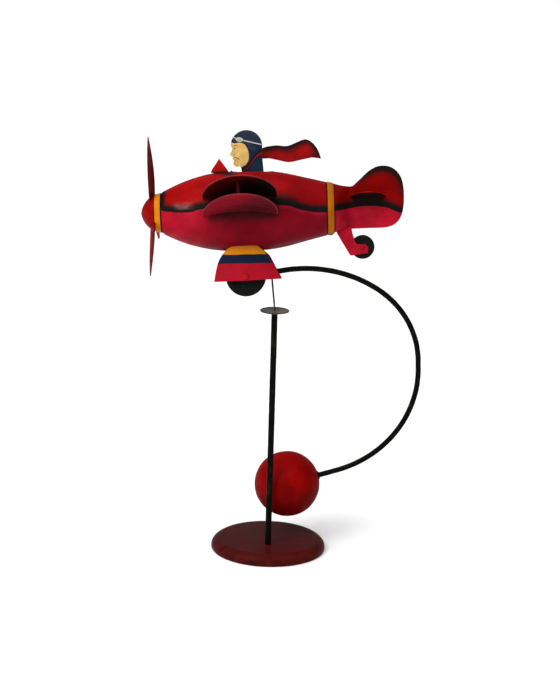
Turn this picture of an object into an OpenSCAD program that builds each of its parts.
// Balancing aeroplane toy: a tin biplane with a pilot stands on a needle point on top of a post
// and is kept upright by a ball on a long curved arm. Millimetres, +Z up, nose towards -X.
// The origin is the centre of the wooden base's underside.

/* [Stand] */
// Radius of the turned wooden base
base_r = 74; // [70:1:80]
// Thickness of the wooden base
base_t = 14; // [13:0.5:18]
// Distance from the base's centre to the post, towards the front
post_offset = 26; // [15:1:35]
// Radius of the steel post
post_r = 3.95; // [3.5:0.05:4.2]
// Length of post that shows above the base
post_h = 308; // [300:1:330]
// Radius of the dish that the needle stands in
dish_r = 18.4; // [15:0.2:22]

/* [Balance] */
// Radius of the ball point at the needle's tip
tip_r = 1.2; // [1.1:0.05:1.3]
// Bank of the aeroplane, left wing up
bank = 11; // [0:1:12]
// Nose-down attitude of the aeroplane
dive = 3.3; // [0:0.1:5]
// Radius of the counterweight ball
ball_r = 42; // [38:0.5:42]
// Wall of the hollow counterweight ball
ball_wall = 4.54; // [3.5:0.01:5]
// Radius of the counterweight arm
arm_r = 3.4; // [3:0.1:3.4]
// Sideways lean of the plane that the arm lies in
arm_lean = 18.8; // [18.8:0.1:20]

/* [Fuselage] */
// Height of the fuselage axis above the needle's tip
axis_h = 124.8; // [120:0.2:130]
// Largest radius of the fuselage
hull_r = 49.4; // [47:0.2:50]
// Thickness of the fuselage skin
skin = 0.9; // [0.8:0.05:1.1]
// Thickness of the flat sheet parts
sheet = 1.1; // [0.8:0.1:1.3]

/* [Wings] */
// Half the wing chord
wing_chord = 45.5; // [40:0.5:47]
// Distance from the centre line to a wing tip
wing_span = 128; // [120:1:140]
// Upward slope of the wings
dihedral = 13.5; // [8:0.5:15]
// Height of the upper wing's root above the fuselage axis
upper_h = 20; // [18:0.5:22]

/* [Running gear] */
// Radius of the main wheels
wheel_r = 25; // [22:0.5:26]
// Radius of the tail wheel
tail_wheel_r = 15; // [12:0.5:15]
// Length of a propeller blade from the shaft's axis
blade_r = 99.5; // [90:0.5:105]

/* [Hidden] */
$fn = 96;
gap = 0.1;                // between the ball point and the dish
fit = 0.05;               // radial running clearance
dish_t = 1.4;
pivot = [0, -post_offset, base_t + post_h + dish_t + gap + tip_r];

// Fuselage stations along the body's X, measured from the needle's tip
hull_x0 = -136.6;
hull_x1 = 78;
front_x = -45;
front_bend = 188;
rear_x = -20;
rear_bend = 180;
rear_slope = 14;
cone_x = 98;
slot_half = 26;           // the cone's flattened end, from its middle to its rounded ends
slot_r = 1.8;
thin = 0.02;              // thickness of the end slices that a hull joins
band_w = 9;

// Cockpit opening
cockpit_x0 = -50;
cockpit_x1 = 3;
cockpit_w = 26;
floor_z = 26;             // above the fuselage axis

// Nose
cap_x = -145.4;
cap_len = 18;
cap_r = 23;
nose_back_x = -137.4;
nose_back_r = 24.9;
shaft_r = 2;
hub_r = 7;
blade_x = -149.3;
blade_w = 20;
blade_pitch = 20;
blade_widest = 40;
blade_angles = [20, 141, 251];

// Undercarriage
axle_x = -34.5;
axle_z = 43.2;
axle_r = 2;
wheel_t = 8;
wheel_y = 17;
fairing_bend = 130;
fairing_splay = 8;
tail_axle = [111.8, 75.6];
tail_wheel_t = 6;
tail_pin_r = 1.5;

// Counterweight arm, in its own leaning plane: straight pieces and bends in order,
// each [length] or [radius, angle]
arm_path = [[50], [160, 43.5], [122, 54], [11], [145, 75], [28.5]];
arm_start_slope = 7.5;
arm_inset = 4;

RED = [0.72, 0.06, 0.07];
CRIMSON = [0.78, 0.08, 0.2];
YELLOW = [0.87, 0.55, 0.12];
BLACK = [0.12, 0.12, 0.12];
STEEL = [0.35, 0.35, 0.33];

// ---- frames ----

// The aeroplane's own level frame, with its origin at the needle's tip
module airborne() translate(pivot) rotate([-bank, -dive, 0]) children();

// +Z runs forward-to-aft along the fuselage axis, and +X points down
module along_hull() translate([0, 0, axis_h]) rotate([0, 90, 0]) children();

// A flat plate drawn as x, z in the plane of symmetry
module upright_plate(t, y = 0)
  translate([0, y + t / 2, 0]) rotate([90, 0, 0]) linear_extrude(t) children();

// A shape built along Z, laid across the aeroplane
module across() rotate([90, 0, 0]) children();

// ---- curves ----

// Catmull-Rom curve between b and c
function spline_point(a, b, c, d, t) =
  0.5 * (2 * b + (c - a) * t + (2 * a - 5 * b + 4 * c - d) * t * t + (3 * b - a - 3 * c + d) * t * t * t);
// Smooth curve through a list of points, n steps a span, without its last point
function smooth(p, n = 4) = let (m = len(p)) [
  for (i = [0 : m - 2], k = [0 : n - 1])
    spline_point(p[max(i - 1, 0)], p[i], p[i + 1], p[min(i + 2, m - 1)], k / n)
];
function arc(c, r, a0, a1, n) = [for (i = [0 : n]) let (a = a0 + (a1 - a0) * i / n) c + r * [cos(a), sin(a)]];

// ---- fuselage ----

rear_end = rear_x + rear_bend * sin(rear_slope);
function hull_radius(x) =
  x < front_x ? hull_r - front_bend + sqrt(pow(front_bend, 2) - pow(x - front_x, 2))
  : x < rear_x ? hull_r
  : x < rear_end ? hull_r - rear_bend + sqrt(pow(rear_bend, 2) - pow(x - rear_x, 2))
  : hull_r - rear_bend * (1 - cos(rear_slope)) - (x - rear_end) * tan(rear_slope);
hull_stations = [
  for (i = [0 : 12]) hull_x0 + (front_x - hull_x0) * i / 12,
  for (i = [0 : 6]) rear_x + (rear_end - rear_x) * i / 6,
  hull_x1
];

module hull_solid()
  along_hull() rotate_extrude() polygon([
    [0, hull_x0],
    for (x = hull_stations) [hull_radius(x), x],
    [0, hull_x1]
  ]);

module cockpit_cut()
  hull() for (x = [cockpit_x0, cockpit_x1]) let (r = cockpit_w / 2, d = x < front_x ? r : -r)
    translate([x + d, 0, axis_h + floor_z]) cylinder(r = r, h = hull_r, $fn = 32);

module skin_profile()
  polygon([
    for (x = hull_stations) [hull_radius(x), x],
    for (i = [len(hull_stations) - 1 : -1 : 0]) let (x = hull_stations[i]) [hull_radius(x) - skin, x]
  ]);

module fuselage()
  airborne() color(RED) difference() {
    along_hull() rotate_extrude() skin_profile();
    cockpit_cut();
  }

module nose_bulkhead()
  airborne() color(RED) along_hull() translate([0, 0, hull_x0 + 0.5]) difference() {
    cylinder(r = hull_radius(hull_x0 + 0.5) - skin, h = sheet);
    translate([0, 0, -1]) cylinder(r = shaft_r, h = sheet + 2);
  }

// Round at the fuselage's end and flattened to an upright slot at the fin
module tail_wedge(inset)
  hull() {
    along_hull() translate([0, 0, hull_x1]) cylinder(r = hull_radius(hull_x1) - inset, h = thin, $fn = 64);
    for (z = [axis_h - slot_half, axis_h + slot_half])
      translate([cone_x - thin, 0, z]) rotate([0, 90, 0])
        cylinder(r = slot_r - inset * 0.9, h = thin, $fn = 16);
  }

module tail_cone()
  airborne() color(CRIMSON) difference() {
    tail_wedge(0);
    translate([-skin, 0, 0]) tail_wedge(skin);
  }

module tail_band()
  airborne() color(YELLOW) along_hull() rotate_extrude() let (a = hull_x1 - band_w, b = hull_x1 - 0.6)
    polygon([
      [hull_radius(a), a], [hull_radius(b), b], [hull_radius(b) + sheet, b], [hull_radius(a) + sheet, a]
    ]);

floor_half = sqrt(pow(hull_r - skin, 2) - pow(floor_z, 2)) - 1.2;
module cockpit_floor()
  airborne() color(BLACK) translate([cockpit_x0, -floor_half, axis_h + floor_z - sheet - 0.1])
    cube([cockpit_x1 - cockpit_x0, 2 * floor_half, sheet]);

// ---- pilot ----

head = [-29.6, 205];
head_r = 19.8;
pilot_outline = concat(
  [[-37, axis_h + floor_z], [-36.4, 174]],
  smooth([[-36.4, 174], [-37.5, 179.5], [-43.5, 180], [-46.6, 183.4], [-45.6, 187.4], [-46.9, 189.6],
    [-46.2, 192], [-50.6, 194], [-48.4, 198.5], [-46.8, 202.5]], 3),
  arc(head, head_r, 172, -22, 24),
  [[-10.2, 190], [-8.9, 174], [-8.9, axis_h + floor_z]]
);

module pilot()
  airborne() color([0.8, 0.62, 0.3]) upright_plate(sheet) polygon(pilot_outline);

scarf_outline = concat(
  [[-14, 200.5]],
  smooth([[-4.5, 203.6], [8, 204.8], [20.5, 203.6], [31, 207], [43.5, 211.4], [52.5, 207], [59.5, 197.5],
    [63, 186.8]], 3),
  [[63, 186.8]],
  smooth([[52, 188.6], [38, 186], [23, 183.4], [9, 186.4], [-4.5, 189.8]], 3),
  [[-14, 188.6]]
);

module scarf()
  airborne() color(RED) upright_plate(sheet) difference() {
    polygon(scarf_outline);
    polygon(pilot_outline);
  }

// A pointed screen of two triangles that meet on the centre line, as x, y, z above the axis
screen_front = [-74.5, 0, 49.8];
screen_peak = [-64, 0, 64.9];
screen_foot = [-52, 14.4, 47.6];
module windscreen_half(side)
  translate([0, 0, axis_h]) mirror([0, side < 0 ? 1 : 0, 0])
    hull() for (corner = [screen_front, screen_peak, screen_foot])
      translate(corner) sphere(r = sheet / 2, $fn = 8);
module windscreen()
  airborne() color(RED) difference() {
    for (side = [-1, 1]) windscreen_half(side);
    hull_solid();
  }

// ---- wings and tail ----

module half_ellipse(a, b)
  polygon([for (i = [0 : 40]) let (t = 4.5 * i) [-a * cos(t), b * sin(t)]]);

// Plate that slopes up from the fuselage; side is -1 for the pilot's left
wing_x = -38.5;           // middle of the wing's widest place
wing_wide_y = 52;         // where the wing is widest, from the centre line
wing_bend = 290;          // radius of the wing's arch from front to rear
wing_sweep = 5;           // how far a wing tip lies behind the root's middle
upper_root_y = 44;        // where the upper wing meets the fuselage
lower_root_y = 48;
lower_h = -1;             // height of the lower wing's root above the axis
module wing_outline()
  let (inner = wing_wide_y / cos(dihedral), outer = wing_span / cos(dihedral) - inner)
    polygon([for (i = [0 : 79]) let (t = 4.5 * i, reach = sin(t) > 0 ? outer : inner)
      [-wing_chord * cos(t) + wing_sweep * max(sin(t), 0), inner + reach * sin(t)]]);

module wing(side, root_y, root_h)
  difference() {
    translate([0, 0, axis_h + root_h - root_y * tan(dihedral)]) rotate([side * dihedral, 0, 0])
      mirror([0, side < 0 ? 1 : 0, 0]) translate([wing_x, 0, 0]) intersection() {
        translate([0, 0, -wing_chord / 2]) linear_extrude(wing_chord) wing_outline();
        translate([0, 0, -wing_bend]) rotate([-90, 0, 0]) difference() {
          cylinder(r = wing_bend + sheet / 2, h = 2 * wing_span, $fn = 180);
          translate([0, 0, -1]) cylinder(r = wing_bend - sheet / 2, h = 2 * wing_span + 2, $fn = 180);
        }
      }
    hull_solid();
  }

module upper_wing(side) wing(side, upper_root_y, upper_h);
module lower_wing(side) wing(side, lower_root_y, lower_h);
module upper_left_wing() airborne() color(RED) upper_wing(-1);
module upper_right_wing() airborne() color(RED) upper_wing(1);
module lower_left_wing() airborne() color(CRIMSON) lower_wing(-1);
module lower_right_wing() airborne() color(CRIMSON) lower_wing(1);

stab_x = 120;
stab_h = 12.5;            // above the fuselage axis
stab_chord = 22;          // half the chord
stab_span = 40;
stab_slope = 8.5;
module stabiliser(side)
  translate([stab_x, side * sheet / 2, axis_h + stab_h]) rotate([side * stab_slope, 0, 0])
    mirror([0, side < 0 ? 1 : 0, 0]) translate([0, 0, -sheet / 2]) linear_extrude(sheet) intersection() {
      half_ellipse(stab_chord, stab_span);
      translate([-stab_chord, gap]) square([2 * stab_chord, stab_span]);
    }
module left_stabiliser() airborne() color(RED) stabiliser(-1);
module right_stabiliser() airborne() color(RED) stabiliser(1);

fin_outline = concat(
  [[cone_x, 98.4], [cone_x, 151]],
  smooth([[101.5, 152], [111, 160.2], [122, 170], [134, 175.6], [147, 175], [157, 168.6], [163, 158],
    [165, 144], [164.6, 128], [161.8, 114.4], [155.4, 104.8], [145.6, 99.8], [133, 98.6]], 3),
  [[120, 98.8]]
);
module fin()
  airborne() color(RED) upright_plate(sheet) polygon(fin_outline);

// ---- undercarriage ----

// Bell-shaped skirt plate beside a main wheel, bulging outwards and splayed at its foot
fairing_outline = [
  [-73.8, 37.4], [-71.5, 50], [-69, 59.5], [-66.1, 65.8], [-63.1, 70.4], [-59.5, 74.8], [-55.8, 78],
  [-50, 82], [-46, 88], [-24, 88], [-20, 82], [-13.3, 76.2], [-7.7, 71.3], [-4.2, 67.5], [0.4, 58.3],
  [5.1, 48.4], [10.1, 39.2]
];
module fairing(side)
  difference() {
    intersection() {
      translate([0, side > 0 ? 60 : 0, 0]) upright_plate(60, -30) polygon(fairing_outline);
      translate([axle_x + 3, side * 23.4, 81]) rotate([side * fairing_splay, 0, 0])
        translate([0, -side * fairing_bend, -60]) difference() {
          cylinder(r = fairing_bend, h = 80, $fn = 180);
          translate([0, 0, -1]) cylinder(r = fairing_bend - sheet, h = 82, $fn = 180);
        }
    }
    hull_solid();
    translate([axle_x, 0, axle_z]) across() cylinder(r = axle_r, h = 90, center = true);
  }
module left_wheel_fairing() airborne() color(CRIMSON) fairing(-1);
module right_wheel_fairing() airborne() color(CRIMSON) fairing(1);

axle_half = 29.3;
module main_axle()
  airborne() color(STEEL) translate([axle_x, 0, axle_z]) across() {
    cylinder(r = axle_r, h = 2 * axle_half, center = true);
    for (end = [0, 1]) mirror([0, 0, end]) {
      translate([0, 0, axle_half]) intersection() {
        cylinder(r = 3.9, h = 2.2);
        translate([0, 0, -2.2]) sphere(r = 4.4);
      }
      for (z = [wheel_y - wheel_t / 2 - 2, wheel_y + wheel_t / 2 + 0.4])
        translate([0, 0, z]) cylinder(r = 4, h = 1.6);
    }
  }

module wheel(r, t, bore)
  across() rotate_extrude() let (e = t * 0.3) polygon(concat(
    [[bore, -t / 2], [r * 0.3, -t / 2], [r * 0.34, -t / 2 + 0.8]],
    [[r * 0.62, -t / 2 + 0.8], [r * 0.68, -t / 2]],
    arc([r - e, -t / 2 + e], e, -90, 0, 5),
    arc([r - e, t / 2 - e], e, 0, 90, 5),
    [[r * 0.68, t / 2], [r * 0.62, t / 2 - 0.8], [r * 0.34, t / 2 - 0.8], [r * 0.3, t / 2], [bore, t / 2]]
  ));
module main_wheel(side) translate([axle_x, side * wheel_y, axle_z]) wheel(wheel_r, wheel_t, axle_r + fit);
module left_wheel() airborne() color(BLACK) main_wheel(-1);
module right_wheel() airborne() color(BLACK) main_wheel(1);

fork_w = 10;
fork_outline = [
  [80, 93.9], [96.3, 65], [118.7, 67.5], [119, 75.1], [115.8, 79], [105.4, 79.3], [103.1, 81.6],
  [101.2, 88], [cone_x, 98.3]
];
module tail_wheel_fork()
  airborne() color(CRIMSON) difference() {
    upright_plate(fork_w) polygon(fork_outline);
    translate([1.2, 0, -2]) upright_plate(fork_w - 2 * sheet) polygon(fork_outline);
    translate([88, sheet - fork_w / 2, 55]) cube([40, fork_w - 2 * sheet, 36.2]);
    translate([tail_axle[0], 0, tail_axle[1]]) across() cylinder(r = tail_pin_r, h = 20, center = true);
    tail_wedge(-gap);
  }
module tail_wheel()
  airborne() color(BLACK) translate([tail_axle[0], 0, tail_axle[1]])
    wheel(tail_wheel_r, tail_wheel_t, tail_pin_r + fit);
module tail_wheel_pin()
  airborne() color(STEEL) translate([tail_axle[0], 0, tail_axle[1]]) across() {
    cylinder(r = tail_pin_r, h = fork_w, center = true);
    for (end = [0, 1]) mirror([0, 0, end]) translate([0, 0, fork_w / 2]) intersection() {
      cylinder(r = 2.6, h = 1.4);
      translate([0, 0, -1.8]) sphere(r = 3.2);
    }
  }

// ---- balance ----

// Rings along the path, each [x, y, heading]: the path starts along +X and bends towards -Y
bend_step = 5;
function path_rings(path, i = 0, x = 0, y = 0, h = 0) =
  i == len(path) ? [[x, y, h]]
  : len(path[i]) == 1
    ? concat([[x, y, h]], path_rings(path, i + 1, x + path[i][0] * cos(h), y + path[i][0] * sin(h), h))
  : let (r = path[i][0], n = ceil(path[i][1] / bend_step), e = h - path[i][1])
    concat(
      [for (k = [0 : n - 1]) let (a = h - path[i][1] * k / n)
        [x + r * (sin(h) - sin(a)), y + r * (cos(a) - cos(h)), a]],
      path_rings(path, i + 1, x + r * (sin(h) - sin(e)), y + r * (cos(e) - cos(h)), e)
    );

rod_sides = 20;
module rod(path, r)
  let (rings = path_rings(path), n = len(rings), m = rod_sides)
    polyhedron(
      points = [for (c = rings, k = [0 : m - 1]) let (u = r * cos(360 * k / m), w = r * sin(360 * k / m))
        [c[0] - u * sin(c[2]), c[1] + u * cos(c[2]), w]],
      faces = concat(
        [[for (k = [0 : m - 1]) k]],
        [[for (k = [m - 1 : -1 : 0]) (n - 1) * m + k]],
        [for (i = [0 : n - 2], k = [0 : m - 1]) let (j = (k + 1) % m)
          [i * m + k, (i + 1) * m + k, (i + 1) * m + j, i * m + j]]
      )
    );

// The arm's plane: its X along the body's X, its Y up and leaning towards the left
module arm_plane()
  translate([axle_x, 0, axle_z]) rotate([90 + arm_lean, 0, 0]) rotate([0, 0, arm_start_slope])
    children();

arm_rings = path_rings(arm_path);
arm_end = arm_rings[len(arm_rings) - 1];

module at_ball() arm_plane() translate([arm_end[0], arm_end[1], 0]) rotate([0, 0, arm_end[2]])
  translate([ball_r - arm_inset, 0, 0]) children();

module counterweight_arm()
  airborne() color(BLACK) difference() {
    arm_plane() rod(arm_path, arm_r);
    translate([axle_x, 0, axle_z]) across() cylinder(r = axle_r, h = 20, center = true);
  }

module counterweight_ball()
  airborne() color(RED) at_ball() difference() {
    sphere(r = ball_r);
    sphere(r = ball_r - ball_wall);
    rotate([0, -90, 0]) translate([0, 0, ball_r - arm_inset]) cylinder(r = arm_r, h = 10);
    rotate([0, -90, 0]) translate([0, 0, ball_r - ball_wall - 1]) cylinder(r = arm_r - 0.6, h = 5);
  }

needle_x = -2.6;
needle_top = [needle_x, -1.2, 46];
needle_len = norm(needle_top);
module needle()
  airborne() color(STEEL) difference() {
    rotate([0, acos(needle_top[2] / needle_len), atan2(needle_top[1], needle_top[0])]) {
      translate([0, 0, 0.7]) cylinder(r1 = 0.75, r2 = 1.15, h = 8);
      translate([0, 0, 8.7]) cylinder(r = 1.15, h = needle_len - 8.7);
    }
    sphere(r = tip_r + fit);
    arm_plane() rod([arm_path[0]], arm_r);
  }

module pivot_point() translate(pivot) color(STEEL) sphere(r = tip_r);

// ---- propeller ----

// Half profile of a blunt cone, from its rim to its tip
function cap_profile(r, len) = [
  for (i = [0 : 13]) let (t = pow(i / 14, 0.8)) [r * pow(1 - pow(t, 1.5), 0.62), cap_x - len * t],
  [0, cap_x - len]
];
function reversed(p) = [for (i = [len(p) - 1 : -1 : 0]) p[i]];

// Lens outline from two arcs, pointing along -X, cut off at radius r
module blade_outline(r, w)
  let (half = blade_r - blade_widest, bend = (half * half + w * w / 4) / w)
    intersection() {
      translate([-blade_widest, bend - w / 2]) circle(r = bend, $fn = 180);
      translate([-blade_widest, w / 2 - bend]) circle(r = bend, $fn = 180);
      translate([-blade_r, -w]) square([blade_r - r, 2 * w]);
    }

// Angle 0 points up, and the blade leans towards the pilot's left as the angle grows
module blade_shape(angle, r, w, t)
  along_hull() translate([0, 0, blade_x]) rotate([0, 0, angle]) rotate([blade_pitch, 0, 0])
    translate([0, 0, -t / 2]) linear_extrude(t) blade_outline(r, w);

module blade(i) airborne() color([0.5, 0.05, 0.06]) blade_shape(blade_angles[i], hub_r, blade_w, 1.2);
module blade_1() blade(0);
module blade_2() blade(1);
module blade_3() blade(2);

module nose_cap()
  airborne() color(RED) difference() {
    along_hull() rotate_extrude()
      polygon(concat(cap_profile(cap_r, cap_len), reversed(cap_profile(cap_r - 1, cap_len - 1))));
    for (a = blade_angles) blade_shape(a, 2, blade_w + 0.4, 1.6);
  }

module nose_band()
  airborne() color(YELLOW) along_hull() rotate_extrude() polygon([
    [cap_r, cap_x], [nose_back_r, nose_back_x], [nose_back_r - 1, nose_back_x], [cap_r - 1, cap_x]
  ]);

// Stations along the shaft, from its head in the cap to its end behind the bulkhead
shaft_head_x = -158;
shaft_head_t = 1.6;
hub_x0 = -156;
hub_x1 = -138.8;
hub_disc_x = -142;        // disc that carries the cap's band
washer_x0 = -138.3;
washer_r = 5;
shaft_x1 = -130.6;
module propeller_hub()
  airborne() color(STEEL) along_hull() difference() {
    union() {
      translate([0, 0, hub_x0]) cylinder(r = hub_r, h = hub_x1 - hub_x0);
      translate([0, 0, hub_disc_x]) cylinder(r = cap_r - 0.2, h = 1);
    }
    translate([0, 0, shaft_head_x - 2]) cylinder(r = shaft_r + fit, h = 30);
  }

module propeller_shaft()
  airborne() color(STEEL) along_hull() {
    translate([0, 0, shaft_head_x + 0.4]) cylinder(r = shaft_r, h = shaft_x1 - shaft_head_x - 0.4);
    translate([0, 0, shaft_head_x]) cylinder(r = 1.7 * shaft_r, h = shaft_head_t);
  }

module shaft_washer()
  airborne() color(STEEL) along_hull() translate([0, 0, washer_x0]) difference() {
    cylinder(r = washer_r, h = hull_x0 + 0.4 - washer_x0);
    translate([0, 0, -1]) cylinder(r = shaft_r, h = 7);
  }

// ---- stand ----

socket_z = 7;
screw_r = 1.9;
screw_head_r = 4.6;
counterbore_h = 4;

module base()
  color([0.36, 0.06, 0.06]) difference() {
    rotate_extrude($fn = 180) polygon(concat(
      [[0, 0]],
      arc([base_r - 1.5, 1.5], 1.5, -90, 0, 4),
      arc([base_r - 9, base_t - 9], 9, 0, 90, 10),
      [[0, base_t]]
    ));
    translate([0, -post_offset, 0]) {
      translate([0, 0, socket_z]) cylinder(r = post_r, h = base_t);
      translate([0, 0, -1]) cylinder(r = screw_r, h = base_t);
      translate([0, 0, -1]) cylinder(r = 5.2, h = counterbore_h + 1);
    }
  }

module post()
  color(BLACK) translate([0, -post_offset, socket_z]) difference() {
    cylinder(r = post_r, h = base_t - socket_z + post_h);
    translate([0, 0, -1]) cylinder(r = screw_r, h = 13);
  }

module post_screw()
  color(STEEL) translate([0, -post_offset, 0]) difference() {
    union() {
      translate([0, 0, counterbore_h - 2.4]) cylinder(r = screw_head_r, h = 2.4);
      translate([0, 0, counterbore_h]) cylinder(r = screw_r, h = 12);
    }
    translate([0, 0, counterbore_h - 2]) cube([10, 1, 1.6], center = true);
  }

module dish()
  color(STEEL) translate([0, -post_offset, base_t + post_h]) rotate_extrude() polygon([
    [0, 0], [post_r, 0], [dish_r - 0.6, 0.9], [dish_r, 1.6], [dish_r - 0.5, 2.4], [dish_r - 2, 2.1],
    [dish_r * 0.5, dish_t + 0.2], [2, dish_t], [0, dish_t]
  ]);

base();
post();
post_screw();
dish();
pivot_point();
needle();
fuselage();
nose_bulkhead();
tail_cone();
tail_band();
cockpit_floor();
pilot();
scarf();
windscreen();
upper_left_wing();
upper_right_wing();
lower_left_wing();
lower_right_wing();
left_stabiliser();
right_stabiliser();
fin();
left_wheel_fairing();
right_wheel_fairing();
main_axle();
left_wheel();
right_wheel();
tail_wheel_fork();
tail_wheel();
tail_wheel_pin();
counterweight_arm();
counterweight_ball();
propeller_shaft();
shaft_washer();
nose_cap();
nose_band();
propeller_hub();
blade_1();
blade_2();
blade_3();
